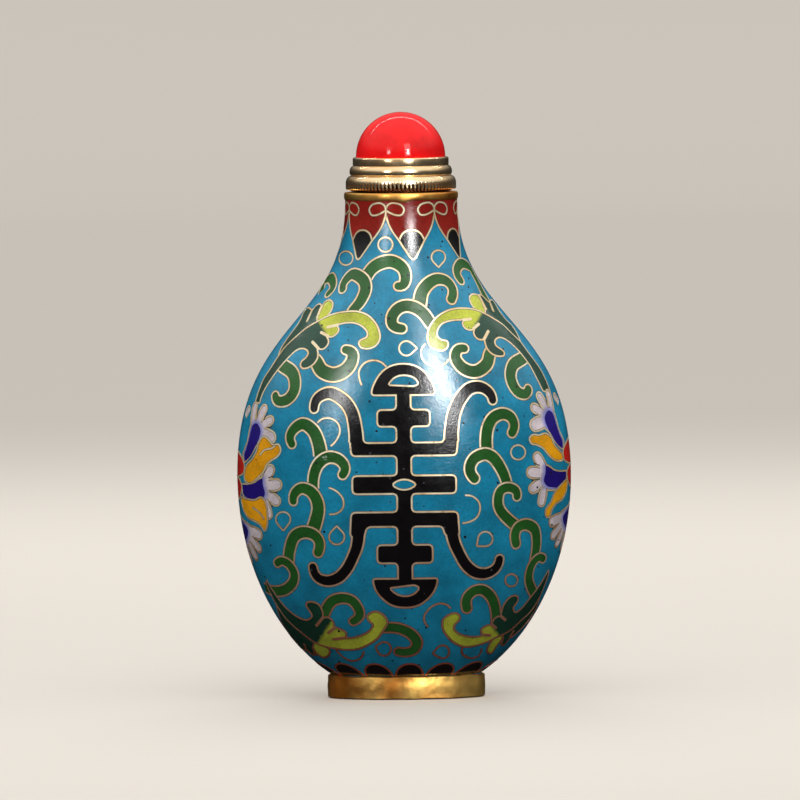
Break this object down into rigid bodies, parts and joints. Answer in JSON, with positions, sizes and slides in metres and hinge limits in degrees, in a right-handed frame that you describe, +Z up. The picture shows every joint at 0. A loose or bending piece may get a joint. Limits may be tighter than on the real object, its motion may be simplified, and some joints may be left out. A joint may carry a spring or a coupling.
{
  "type": "snuff bottle",
  "caption": "Flattened pear-shaped cloisonne enamel snuff bottle, hollow, on an oval gilt foot, with a milled brass stopper set with a red dome.",
  "frame": {"origin": "centre of the bottle at the plane that the foot stands on", "axes": "+Z up along the bottle's axis, X across the broad face, -Y towards the viewer of the broad face"},
  "size_m": [0.0456, 0.0264, 0.08],
  "materials": {
    "enamel": "polished turquoise enamel fired on copper, with fine pits",
    "gilt_copper": "gilded copper, worn and lightly scratched",
    "polished_brass": "turned and polished pale brass",
    "coral_red": "glossy coral-red composition"
  },
  "bodies": {
    "root": {"body": "enamel", "foot_rim": "gilt_copper", "mouth_rim": "gilt_copper", "stopper_collar": "polished_brass", "stopper_cabochon": "coral_red"}
  },
  "joints": []
}
